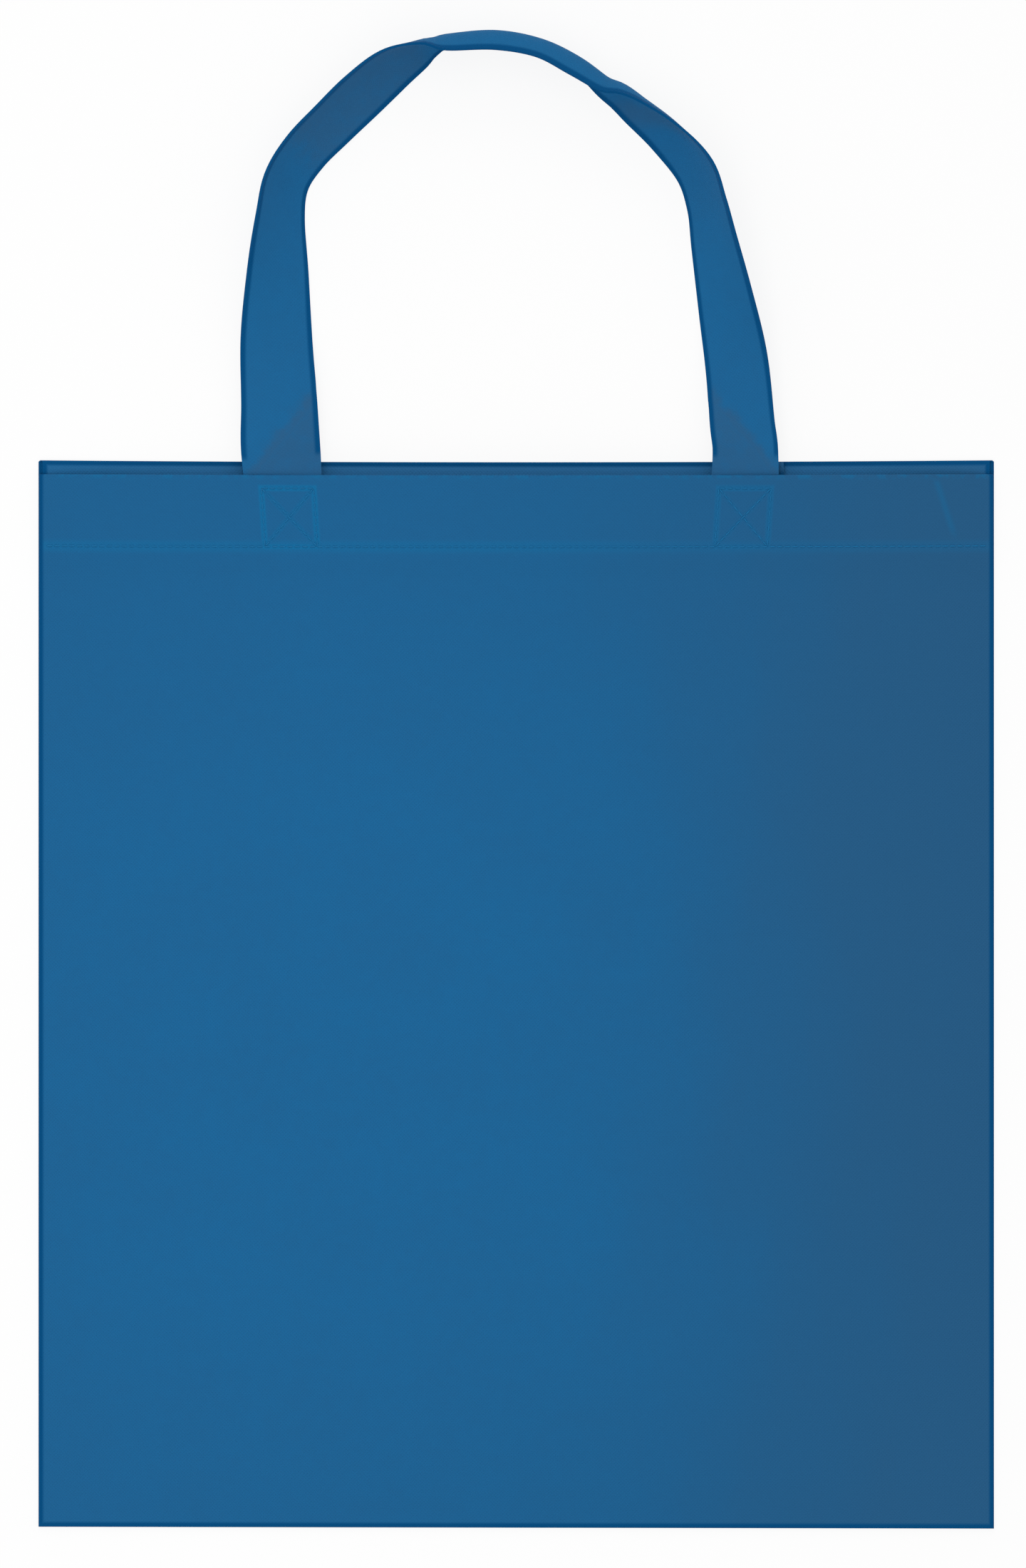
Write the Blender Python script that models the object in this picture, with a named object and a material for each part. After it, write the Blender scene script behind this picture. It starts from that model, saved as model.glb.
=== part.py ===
# Carrier bag of non-woven cloth with two strap handles, lying on its back.
# Metres, +Z up. The front panel faces up, and +Y runs from the folded bottom to the handles.
# The origin lies on the surface under the bag, below the middle of its outline.

import math

import bmesh
import bpy
from mathutils import Vector

# Bag
bag_width = 0.380
bag_height = 0.424          # bottom fold to the back panel's mouth edge
cloth = 0.0006              # one ply
seam_width = 0.002          # strip along each side where the two panels are joined
seam_opening = 0.0003       # height of the space where it meets a seam or the fold
hem_depth = 0.030           # turned-in ply at the mouth
hem_run = 0.012             # length over which the front panel climbs onto the hem plies
front_drop = 0.0055         # the front mouth edge lies this far below the back one
loft = 0.012                # height of the space inside, along its middle
loft_run = 0.100            # length over which the space opens from the bottom fold

# Straps
strap_width = 0.0275
strap_thickness = 0.0012
strap_inset = 0.029         # length of a strap end behind its hem
foot_spacing = 0.185        # between the middles of a handle's two feet, at the mouth
foot_splay = 0.003          # a strap end lies this much nearer the middle than its foot
handle_rise = 0.1645        # back mouth edge to the middle of the front handle's top
exit_run = 0.060            # length over which the front handle comes down from the mouth
clearance = 0.0003          # between pieces that lie on each other
turn_gap = 0.0012           # space inside the rear handle's turn at the mouth
settle_run = 0.022          # length over which the rear handle sinks onto the back panel

# Mesh density
panel_columns = 34
panel_rows = 35
climb_rows = 5
hem_rows = 4
strap_segments = 10
strap_stations = 104
turn_steps = 4
route_steps = 24            # points tried between two rows of the route
sharp_angle = 40            # degrees between faces above which an edge is shaded sharp

# Colours
cloth_colour = (0.016, 0.120, 0.285, 1.0)
strap_colour = (0.016, 0.118, 0.275, 1.0)
cloth_roughness = 0.85

# Places that follow from the sizes above, with y measured from the bottom fold
half_width = bag_width / 2
flat_edge = half_width - cloth
seam_edge = half_width - seam_width
inner_bottom = 2 * cloth
back_mouth = bag_height
front_mouth = back_mouth - front_drop
back_hem = back_mouth - hem_depth
front_hem = front_mouth - hem_depth

# Route of the front handle, from the left foot over the top to the right foot.
# Each row: x as a share of half the foot spacing, y as a share of the rise, lean of the strap
# in degrees (0 flat, 90 on its inner edge), depth of its curl and spread of its width as shares of it.
front_route = [
    (-1.008, 0.00, 2, 0.00, 1.14),
    (-1.018, 0.14, 4, 0.00, 1.10),
    (-1.030, 0.29, 14, 0.00, 1.06),
    (-1.024, 0.44, 28, 0.02, 1.00),
    (-1.012, 0.58, 47, 0.04, 1.00),
    (-0.985, 0.67, 51, 0.07, 1.00),
    (-0.905, 0.742, 50, 0.08, 1.00),
    (-0.786, 0.808, 49, 0.10, 1.00),
    (-0.664, 0.879, 49, 0.13, 1.00),
    (-0.532, 0.938, 53, 0.19, 1.00),
    (-0.398, 0.974, 74, 0.21, 1.00),
    (-0.260, 0.990, 93, 0.20, 1.00),
    (-0.090, 0.994, 97, 0.21, 1.00),
    (0.090, 0.977, 96, 0.21, 1.00),
    (0.236, 0.935, 94, 0.23, 1.00),
    (0.356, 0.883, 87, 0.24, 1.00),
    (0.497, 0.836, 71, 0.23, 1.00),
    (0.637, 0.778, 61, 0.20, 1.00),
    (0.764, 0.698, 58, 0.09, 1.00),
    (0.817, 0.614, 60, 0.05, 1.00),
    (0.850, 0.520, 51, 0.04, 1.00),
    (0.896, 0.390, 39, 0.03, 1.00),
    (0.944, 0.240, 29, 0.03, 1.00),
    (0.970, 0.090, 23, 0.04, 1.00),
    (0.984, 0.00, 17, 0.04, 1.00),
]


def smooth_step(t):
    t = min(max(t, 0.0), 1.0)
    return t * t * (3.0 - 2.0 * t)


def spaced(start, end, count):
    return [start + (end - start) * i / count for i in range(count + 1)]


# Height of the space between the two panels
def space_height(x, y):
    across = max(0.0, 1.0 - (x / seam_edge) ** 2)
    along = min(max((y - inner_bottom) / loft_run, 0.0), 1.0)
    return seam_opening + loft * across * (1.0 - (1.0 - along) ** 2)


# Height of the front panel's outer face, which climbs onto the two hem plies
# and rounds off at the sides
def panel_height(x, y):
    if abs(x) > flat_edge:
        return cloth
    climb = 2 * cloth * smooth_step((y - front_hem + hem_run) / hem_run)
    space = space_height(x, y) if abs(x) <= seam_edge else 0.0
    return 2 * cloth + climb + space


# Height of the face that the front handle's ends lie against
def front_hem_face(x, y):
    return 2 * cloth + space_height(x, y)


def make_material(name, colour):
    material = bpy.data.materials.new(name)
    material.use_nodes = True
    shader = material.node_tree.nodes["Principled BSDF"]
    shader.inputs["Base Color"].default_value = colour
    shader.inputs["Roughness"].default_value = cloth_roughness
    shader.inputs["Metallic"].default_value = 0.0
    return material


def finish_object(name, bm, material, parent):
    bmesh.ops.recalc_face_normals(bm, faces=bm.faces)
    mesh = bpy.data.meshes.new(name)
    bm.to_mesh(mesh)
    bm.free()
    mesh.shade_smooth()
    mesh.set_sharp_from_angle(angle=math.radians(sharp_angle))
    mesh.materials.append(material)
    piece = bpy.data.objects.new(name, mesh)
    bpy.context.scene.collection.objects.link(piece)
    piece.parent = parent
    return piece


# The bag: a length of cloth folded at the bottom, joined at both sides,
# with a turned-in hem on each panel at the mouth
def make_body(material, parent):
    bm = bmesh.new()
    inner_columns = spaced(-seam_edge, seam_edge, panel_columns)
    columns = [-half_width, -flat_edge] + inner_columns + [flat_edge, half_width]
    rows = spaced(inner_bottom, front_hem - hem_run, panel_rows)
    rows += spaced(front_hem - hem_run, front_hem, climb_rows)[1:]
    hem = spaced(front_hem, front_mouth, hem_rows)

    def grid_row(xs, y, plies):
        return [bm.verts.new((x, y, panel_height(x, y) - plies * cloth)) for x in xs]

    outer = [grid_row(columns, y, 0) for y in [cloth] + rows + hem[1:]]
    inner = [grid_row(inner_columns, y, 1) for y in rows]
    inner += [grid_row(inner_columns, y, 2) for y in hem]
    for grid in (outer, inner):
        for below, above in zip(grid, grid[1:]):
            for i in range(len(below) - 1):
                bm.faces.new((below[i], below[i + 1], above[i + 1], above[i]))

    # Bottom fold, rounded by one row of its own
    fold = [bm.verts.new((x, 0.0, cloth)) for x in columns]
    for i in range(len(columns) - 1):
        bm.faces.new((fold[i], fold[i + 1], outer[0][i + 1], outer[0][i]))
    under_left = bm.verts.new((-flat_edge, cloth, 0.0))
    under_right = bm.verts.new((flat_edge, cloth, 0.0))
    bm.faces.new([under_left, under_right] + fold[::-1])

    # Back panel: its outer face, mouth rim and inner faces, with the step of its hem
    def corner_pair(x, y, z):
        return [bm.verts.new((side * x, y, z)) for side in (-1, 1)]

    mouth_under = corner_pair(flat_edge, back_mouth, 0.0)
    mouth_side = corner_pair(half_width, back_mouth, cloth)
    mouth_over = corner_pair(flat_edge, back_mouth, 2 * cloth)
    seam_top = corner_pair(flat_edge, front_mouth, 2 * cloth)
    seam_inside = corner_pair(seam_edge, front_mouth, 2 * cloth)
    step_over = corner_pair(seam_edge, back_hem, 2 * cloth)
    step_under = corner_pair(seam_edge, back_hem, cloth)
    floor_end = corner_pair(seam_edge, inner_bottom, cloth)
    bm.faces.new((under_left, under_right, mouth_under[1], mouth_under[0]))
    bm.faces.new((mouth_under[0], mouth_under[1], mouth_side[1], mouth_over[1], mouth_over[0], mouth_side[0]))
    bm.faces.new((mouth_over[0], mouth_over[1], seam_top[1], seam_inside[1],
                  step_over[1], step_over[0], seam_inside[0], seam_top[0]))
    bm.faces.new((step_over[0], step_over[1], step_under[1], step_under[0]))
    bm.faces.new((floor_end[0], floor_end[1], step_under[1], step_under[0]))
    bm.faces.new([floor_end[0], floor_end[1]] + inner[0][::-1])

    # Sides: the rounded edge, the end of the space beside it, and the seam's end at the mouth
    for side, end, under, flat, beside in ((0, 0, under_left, 1, 2), (1, -1, under_right, -2, -3)):
        edge = [row[end] for row in outer]
        bm.faces.new([fold[end], under, mouth_under[side], mouth_side[side]] + edge[::-1])
        bm.faces.new((mouth_side[side], mouth_over[side], seam_top[side], edge[-1]))
        bm.faces.new((edge[-1], seam_top[side], outer[-1][flat]))
        bm.faces.new((seam_top[side], seam_inside[side], inner[-1][end], outer[-1][beside], outer[-1][flat]))
        wall = [row[end] for row in inner]
        bm.faces.new([floor_end[side], step_under[side], step_over[side], seam_inside[side]] + wall[::-1])

    # Front panel's mouth rim
    for i in range(len(inner_columns) - 1):
        bm.faces.new((inner[-1][i], inner[-1][i + 1], outer[-1][i + 3], outer[-1][i + 2]))
    return finish_object("bag_body", bm, material, parent)


# A closed strap skinned over sections, each a pair of rows of points for its two faces
def skin_strap(name, sections, material, parent):
    bm = bmesh.new()
    rings = []
    for lower, upper in sections:
        rings.append([bm.verts.new(point) for point in list(lower) + list(upper)[::-1]])
    for ring, after in zip(rings, rings[1:]):
        for i in range(len(ring)):
            j = (i + 1) % len(ring)
            bm.faces.new((ring[i], ring[j], after[j], after[i]))
    bm.faces.new(rings[0])
    bm.faces.new(rings[-1])
    return finish_object(name, bm, material, parent)


# Catmull-Rom curve through rows of any width, sampled evenly along its length
def smooth_rows(rows, count):
    padded = [[2 * a - b for a, b in zip(rows[0], rows[1])]] + [list(row) for row in rows]
    padded.append([2 * a - b for a, b in zip(rows[-1], rows[-2])])
    fine = []
    for k in range(1, len(padded) - 2):
        p, q, r, s = padded[k - 1:k + 3]
        for step in range(route_steps):
            t = step / route_steps
            fine.append([0.5 * (2 * b + (c - a) * t + (2 * a - 5 * b + 4 * c - d) * t * t
                                + (3 * b - a - 3 * c + d) * t ** 3) for a, b, c, d in zip(p, q, r, s)])
    fine.append(list(rows[-1]))
    run = [0.0]
    for a, b in zip(fine, fine[1:]):
        run.append(run[-1] + math.dist(a[:2], b[:2]))
    picked = []
    k = 0
    for i in range(count + 1):
        target = run[-1] * i / count
        while k < len(run) - 2 and run[k + 1] < target:
            k += 1
        t = (target - run[k]) / (run[k + 1] - run[k])
        picked.append([a + (b - a) * t for a, b in zip(fine[k], fine[k + 1])])
    return picked, run[-1]


# The front handle's route in metres, with its two straight ends behind the hem
def route_rows():
    half = foot_spacing / 2
    rows = [[x * half, back_mouth + y * handle_rise, lean, curl, spread]
            for x, y, lean, curl, spread in front_route]
    end_y = front_mouth - strap_inset
    first = [-half + foot_splay, end_y, 0.0, 0.0, 1.0]
    last = [half - foot_splay, end_y, 0.0, 0.0, 1.0]
    return [first] + rows + [last]


# One section of the leaning and curled strap, resting on its lowest edge
def strap_section(centre, outward, lean, curl, width):
    chord = width - 8 * curl * curl / (3 * width)
    lean = math.radians(lean)
    faces = ([], [])
    for i in range(strap_segments + 1):
        v = 2 * i / strap_segments - 1
        across, bulge = v * chord / 2, curl * (1 - v * v)
        normal = Vector((2 * curl * v, chord / 2)).normalized() * strap_thickness / 2
        for face, side in zip(faces, (1, -1)):
            p = across + side * normal.x
            q = bulge + side * normal.y
            level = outward * (p * math.cos(lean) + q * math.sin(lean))
            face.append(Vector((centre.x + level.x, centre.y + level.y,
                                p * math.sin(lean) - q * math.cos(lean))))
    lowest = min(point.z for face in faces for point in face)
    for face in faces:
        for point in face:
            point.z -= lowest
    return faces


# The front handle comes out from behind the front hem, sinks to the surface and leans
# more and more, until it stands on its inner edge over the top
def make_front_handle(material, parent):
    stations, length = smooth_rows(route_rows(), strap_stations)
    sections = []
    for k, (x, y, lean, curl, spread) in enumerate(stations):
        before = stations[max(k - 1, 0)]
        after = stations[min(k + 1, len(stations) - 1)]
        ahead = Vector((after[0] - before[0], after[1] - before[1])).normalized()
        outward = Vector((-ahead.y, ahead.x))
        width = strap_width * spread
        under, over = strap_section(Vector((x, y)), outward, lean, curl * strap_width, width)
        for face, depth in ((under, strap_thickness), (over, 0.0)):
            for point in face:
                hold = 1.0 - smooth_step((point.y - back_mouth) / exit_run)
                held = front_hem_face(point.x, point.y) - clearance - depth
                point.z = hold * held + (1.0 - hold) * point.z
        sections.append((under, over))
    return skin_strap("front_handle", sections, material, parent), length


# A straight section of the rear handle, across its width, with its face normal
def flat_section(middle, across, normal):
    ends = [middle - across / 2, middle + across / 2]
    half = normal * strap_thickness / 2
    return [end - half for end in ends], [end + half for end in ends]


# Sections round a fold: the strap turns about an axis that lies along its width
def fold_sections(middle, across, out, up, radius):
    sections = []
    for step in range(turn_steps + 1):
        angle = math.pi * step / turn_steps
        centre = middle + out * radius * math.sin(angle) + up * radius * (1 - math.cos(angle))
        normal = up * math.cos(angle) - out * math.sin(angle)
        sections.append(flat_section(centre, across, normal))
    return sections


# The rear handle is turned back at the mouth and lies flat inside the bag,
# with a mitred fold at each of its two corners
def make_rear_handle(length, material, parent):
    half = foot_spacing / 2
    up = Vector((0, 0, 1))
    hem_level = 2 * cloth + clearance + strap_thickness / 2
    floor_level = cloth + clearance + strap_thickness / 2
    turn_radius = (strap_thickness + turn_gap) / 2
    mitre_radius = (strap_thickness + clearance) / 2
    turn_y = back_mouth - turn_radius - strap_thickness
    end_y = back_mouth - strap_inset
    settle_y = end_y - settle_run
    free_length = length - 2 * (strap_inset + front_drop)
    corner_y = turn_y - (free_length - foot_spacing) / 2

    def leg(side):
        x = side * half
        across = Vector((-side * strap_width, 0, 0))
        row = [flat_section(Vector((x, end_y, hem_level)), across, up)]
        row += fold_sections(Vector((x, turn_y, hem_level)), across, Vector((0, 1, 0)), up, turn_radius)
        top_level = hem_level + 2 * turn_radius
        for step in range(turn_steps + 1):
            t = step / turn_steps
            level = top_level + (floor_level - top_level) * smooth_step(t)
            centre = Vector((x, end_y + (settle_y - end_y) * t, level))
            row.append(flat_section(centre, across, -up))
        slant = Vector((-side * strap_width, -strap_width, 0))
        out = Vector((side, -1, 0)).normalized()
        corner = Vector((x, corner_y, floor_level))
        row += [(under, over) for over, under in fold_sections(corner, slant, out, up, mitre_radius)]
        return row

    return skin_strap("rear_handle", leg(-1) + leg(1)[::-1], material, parent)


def main():
    for old in list(bpy.data.objects):
        bpy.data.objects.remove(old, do_unlink=True)
    body_cloth = make_material("bag_cloth", cloth_colour)
    strap_cloth = make_material("strap_cloth", strap_colour)
    bag = bpy.data.objects.new("carrier_bag", None)
    bpy.context.scene.collection.objects.link(bag)
    make_body(body_cloth, bag)
    front, length = make_front_handle(strap_cloth, bag)
    make_rear_handle(length, strap_cloth, bag)
    top = max(vertex.co.y for vertex in front.data.vertices)
    bag.location.y = -top / 2


main()
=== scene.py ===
import math

import bpy
from mathutils import Matrix, Vector, noise


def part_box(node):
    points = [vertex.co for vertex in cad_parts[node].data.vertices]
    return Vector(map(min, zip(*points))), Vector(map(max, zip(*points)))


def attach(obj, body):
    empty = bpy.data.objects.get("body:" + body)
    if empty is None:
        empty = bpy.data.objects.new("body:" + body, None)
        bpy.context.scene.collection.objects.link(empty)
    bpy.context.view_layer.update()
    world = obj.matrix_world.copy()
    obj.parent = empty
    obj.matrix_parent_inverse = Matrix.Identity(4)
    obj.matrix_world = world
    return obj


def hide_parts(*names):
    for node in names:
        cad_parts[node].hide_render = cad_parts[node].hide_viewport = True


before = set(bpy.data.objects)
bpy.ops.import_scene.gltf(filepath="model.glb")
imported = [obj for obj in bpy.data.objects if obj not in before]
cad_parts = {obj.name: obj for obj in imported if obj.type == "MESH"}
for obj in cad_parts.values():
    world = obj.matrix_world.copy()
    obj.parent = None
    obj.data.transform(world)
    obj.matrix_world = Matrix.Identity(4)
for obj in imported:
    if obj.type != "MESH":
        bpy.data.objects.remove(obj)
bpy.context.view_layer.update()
print("frame loaded:", sorted(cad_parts))


# Small helpers
def smoothStep(t):
    t = min(max(t, 0.0), 1.0)
    return t * t * (3.0 - 2.0 * t)


def mix(a, b, t):
    return a + (b - a) * t


def evenly(start, end, step):
    count = max(1, round(abs(end - start) / step))
    return [mix(start, end, i / count) for i in range(count + 1)]


def deselectAll():
    bpy.ops.object.select_all(action="DESELECT")


def pick(piece):
    deselectAll()
    piece.select_set(True)
    bpy.context.view_layer.objects.active = piece


def applyModifier(piece, name):
    pick(piece)
    bpy.ops.object.modifier_apply(modifier=name)


# A grid whose points are moved to their places, with the cloth's own run as its map, in metres
def addClothGrid(name, rows, places):
    deselectAll()
    width = len(rows[0])
    bpy.ops.mesh.primitive_grid_add(x_subdivisions=width - 1, y_subdivisions=len(rows) - 1, size=1)
    piece = bpy.context.active_object
    piece.name = piece.data.name = name
    points = piece.data.vertices
    order = sorted(range(len(points)), key=lambda i: (round(points[i].co.y, 6), round(points[i].co.x, 6)))
    seat = {}
    for k, i in enumerate(order):
        points[i].co = rows[k // width][k % width]
        seat[i] = places[k // width][k % width]
    layer = piece.data.uv_layers.active.data
    for loop in piece.data.loops:
        layer[loop.index].uv = seat[loop.vertex_index]
    return piece


mergeReach = 0.00002
smoothAngle = math.radians(50)


# Doubles go, normals turn outward, then the cloth gets its thickness
def giveThickness(piece, thickness, offset, merge):
    pick(piece)
    bpy.ops.object.mode_set(mode="EDIT")
    bpy.ops.mesh.select_all(action="SELECT")
    if merge:
        bpy.ops.mesh.remove_doubles(threshold=mergeReach)
    bpy.ops.mesh.normals_make_consistent(inside=False)
    bpy.ops.object.mode_set(mode="OBJECT")
    # An open cloth can come out inside out
    if max(piece.data.polygons, key=lambda face: face.center.z).normal.z < 0:
        bpy.ops.object.mode_set(mode="EDIT")
        bpy.ops.mesh.flip_normals()
        bpy.ops.object.mode_set(mode="OBJECT")
    solid = piece.modifiers.new("thickness", "SOLIDIFY")
    solid.thickness = thickness
    solid.offset = offset
    solid.use_even_offset = False
    applyModifier(piece, "thickness")
    bpy.ops.object.shade_smooth_by_angle(angle=smoothAngle)


# Node wiring: a socket that can be added, multiplied and passed on
class Wire:
    def __init__(self, tree, socket):
        self.tree = tree
        self.socket = socket

    def node(self, kind, settings, values, output=0):
        made = self.tree.nodes.new(kind)
        for key, value in settings.items():
            setattr(made, key, value)
        for key, value in values.items():
            if isinstance(value, Wire):
                self.tree.links.new(value.socket, made.inputs[key])
            else:
                made.inputs[key].default_value = value
        return Wire(self.tree, made.outputs[output])

    def calc(self, operation, first, second=0.0):
        return self.node("ShaderNodeMath", {"operation": operation}, {0: first, 1: second})

    def __add__(self, other):
        return self.calc("ADD", self, other)

    def __radd__(self, other):
        return self.calc("ADD", other, self)

    def __sub__(self, other):
        return self.calc("SUBTRACT", self, other)

    def __rsub__(self, other):
        return self.calc("SUBTRACT", other, self)

    def __mul__(self, other):
        return self.calc("MULTIPLY", self, other)

    def __rmul__(self, other):
        return self.calc("MULTIPLY", other, self)

    def __abs__(self):
        return self.calc("ABSOLUTE", self)

    def least(self, other):
        return self.calc("MINIMUM", self, other)

    def most(self, other):
        return self.calc("MAXIMUM", self, other)

    def sine(self):
        return self.calc("SINE", self)

    def root(self):
        return self.calc("SQRT", self)

    def ramp(self, low, high, atLow=0.0, atHigh=1.0):  # smooth from atLow to atHigh
        values = {"Value": self, "From Min": low, "From Max": high, "To Min": atLow, "To Max": atHigh}
        return self.node("ShaderNodeMapRange", {"interpolation_type": "SMOOTHSTEP"}, values)

    def fall(self, low, high, atLow=1.0, atHigh=0.0):
        return self.ramp(low, high, atLow, atHigh)

    def tint(self, first, second):  # colour mix by this value
        return self.node("ShaderNodeMix", {"data_type": "RGBA"}, {0: self, 6: first, 7: second}, output=2)


def startMaterial(name):
    material = bpy.data.materials.new(name)
    material.use_nodes = True
    shader = material.node_tree.nodes["Principled BSDF"]
    return material, shader, Wire(material.node_tree, None)


# The bag's cloth in its own run, in metres: y is measured from the bottom fold
bag = {
    "width": 0.380,
    "height": 0.424,        # bottom fold to the back mouth edge
    "ply": 0.0006,          # thickness that the frame holds for one layer
    "thickness": 0.0005,
    "seamEdge": 0.188,      # half width of the space inside
    "seamOpening": 0.0003,
    "hemDepth": 0.030,
    "hemRun": 0.012,        # the front panel climbs over its hem's edge in this run
    "hemSideGap": 0.0001,
    "frontDrop": 0.0055,    # the front mouth edge lies this much lower
    "loft": 0.012,
    "loftRun": 0.100,
    "frontRound": 0.0015,   # rounding of the side edges
    "backRound": 0.0008,
    "mouthSag": 0.00075,    # the mouth edges dip this much in the middle
    "bottomTilt": 0.00075,  # the bottom fold lies this much lower at the right
    "waves": 0.0006,        # soft unevenness of the front panel
    "waveScale": (11.0, 8.0),
    "waveShift": (3.1, 1.7, 0.4),
    "ripples": 0.00012,
    "rippleScale": (46.0, 34.0),
    "rippleShift": (0.0, 0.0, 5.2),
    "sideFade": 0.030,      # the unevenness dies out in these runs
    "foldFade": 0.040,
    "mouthFade": 0.050,
    "mouthFadeEnd": 0.020,  # above the front mouth edge
    "columnStep": 0.0040,
    "closeColumns": [0.0, 0.00012, 0.0004, 0.0008, 0.0015, 0.0026, 0.0045],
    "rowStep": 0.0036,
    "hemRowStep": 0.0016,
    "hemRowRun": 0.004,     # the close rows end this far above the front hem's edge
    "mouthRowStep": 0.0032,
    "stripRowStep": 0.0030,
    "backHemRowStep": 0.004,
    "turnSteps": 8,
}
halfWidth = bag["width"] / 2
ply = bag["ply"]
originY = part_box("bag_body")[0].y
backMouth = bag["height"]
frontMouth = backMouth - bag["frontDrop"]
backHem = backMouth - bag["hemDepth"]
frontHem = frontMouth - bag["hemDepth"]


def spaceHeight(x, y):
    across = max(0.0, 1.0 - (x / bag["seamEdge"]) ** 2)
    along = min(max((y - 2 * ply) / bag["loftRun"], 0.0), 1.0)
    return bag["seamOpening"] + bag["loft"] * across * (1.0 - (1.0 - along) ** 2)


def unevenness(x, y, scale, shift):
    return noise.noise(Vector((x * scale[0] + shift[0], y * scale[1] + shift[1], shift[2])))


# Height lost to the soft unevenness, none at the edges
def slack(x, y):
    fade = smoothStep((halfWidth - abs(x)) / bag["sideFade"]) * smoothStep(y / bag["foldFade"])
    fade = fade * smoothStep((frontMouth + bag["mouthFadeEnd"] - y) / bag["mouthFade"])
    broad = 0.5 + 0.5 * unevenness(x, y, bag["waveScale"], bag["waveShift"])
    fine = unevenness(x, y, bag["rippleScale"], bag["rippleShift"])
    return fade * (bag["waves"] * broad + bag["ripples"] * (1.0 + fine))


def frontTop(x, y):
    climb = 2 * ply * smoothStep((y - frontHem + bag["hemRun"]) / bag["hemRun"])
    return 2 * ply + climb + spaceHeight(x, y) - slack(x, y)


# The cloth's small departures from a true rectangle
def drift(x, y):
    up = min(max(y / bag["height"], 0.0), 1.0)
    return (-bag["mouthSag"] * (1.0 - (x / halfWidth) ** 2) * up
            - bag["bottomTilt"] * (0.5 + x / bag["width"]) * (1.0 - up))


def roundOff(x, reach):
    d = min(max((halfWidth - abs(x)) / reach, 0.0), 1.0)
    return math.sqrt(max(0.0, 1.0 - (1.0 - d) ** 2))


# Places across the cloth as shares of half its width, close together at the side edges
def columnShares():
    outer = [halfWidth - d for d in bag["closeColumns"]]
    inner = evenly(-outer[-1], outer[-1], bag["columnStep"])
    return [x / halfWidth for x in [-v for v in outer[:-1]] + inner + outer[:-1][::-1]]


# One row of the bag's cloth as points and as places on the cut cloth
def bagRow(part, t, shares):
    points, places = [], []
    hemHalf = halfWidth - bag["frontRound"] - bag["hemSideGap"]
    for share in shares:
        edge = share * halfWidth
        turn = t / math.pi if part in ("backTurn", "frontTurn") else 0.0
        if part == "backHem":
            x, y, z = share * hemHalf, t, 2 * ply
            run = backMouth - t
        elif part == "backTurn":
            x = share * mix(hemHalf, halfWidth, turn)
            y = backMouth - ply + ply * math.sin(t)
            z = ply + ply * math.cos(t) * mix(1.0, roundOff(edge, bag["backRound"]), turn)
            run = ply * (1.0 - 2.0 * turn)
        elif part == "back":
            x, y = edge, t
            z = ply * (1.0 - roundOff(edge, bag["backRound"]))
            run = t - backMouth
        elif part == "fold":
            high = 2 * ply + bag["seamOpening"]
            x, y = edge, ply * (1.0 - math.sin(t))
            level = high * (1.0 - math.cos(t)) / 2
            z = ply + (level - ply) * roundOff(edge, bag["frontRound"] if level > ply else bag["backRound"])
            run = -backMouth - ply * (2.0 * t / math.pi - 1.0)
        elif part == "front":
            x, y = edge, t
            z = ply + (frontTop(edge, t) - ply) * roundOff(edge, bag["frontRound"])
            run = -backMouth - t
        elif part == "frontTurn":
            x = share * mix(halfWidth, hemHalf, turn)
            y = frontMouth - ply + ply * math.sin(t)
            level = frontTop(edge, frontMouth) - ply + ply * math.cos(t)
            z = ply + (level - ply) * mix(roundOff(edge, bag["frontRound"]), 1.0, turn)
            run = -backMouth - frontMouth + ply * (1.0 - 2.0 * turn)
        else:
            x, y = share * hemHalf, t
            z = frontTop(x, t) - 2 * ply if t > frontHem else frontTop(x, frontHem) - 2 * ply
            run = -backMouth - frontMouth - (frontMouth - t)
        points.append(Vector((x, y + drift(edge, y) + originY, z)))
        places.append((edge, run))
    return points, places


def makeBag():
    shares = columnShares()
    hemStart, hemEnd, mouthStart = frontHem - bag["hemRun"], frontHem + bag["hemRowRun"], frontMouth - ply
    shared = evenly(ply, hemStart, bag["rowStep"])[:-1]
    shared += evenly(hemStart, hemEnd, bag["hemRowStep"])[:-1]
    shared += evenly(hemEnd, mouthStart, bag["mouthRowStep"])
    above = evenly(mouthStart, backMouth - ply, bag["stripRowStep"])[1:]
    turns = [math.pi * i / bag["turnSteps"] for i in range(bag["turnSteps"] + 1)]
    steps = [("backHem", y) for y in evenly(backHem, backMouth - ply, bag["backHemRowStep"])[:-1]]
    steps += [("backTurn", a) for a in turns]
    steps += [("back", y) for y in (shared + above)[::-1][1:]]
    steps += [("fold", a) for a in turns[1:-1]]
    steps += [("front", y) for y in shared]
    steps += [("frontTurn", a) for a in turns[1:]]
    steps += [("frontHem", y) for y in evenly(frontHem, mouthStart, bag["mouthRowStep"])[::-1][1:]]
    rows, places = zip(*[bagRow(part, t, shares) for part, t in steps])
    piece = addClothGrid("bagCloth", rows, places)
    giveThickness(piece, bag["thickness"], -1.0, True)
    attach(piece, "root")
    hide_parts("bag_body")
    return piece


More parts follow.
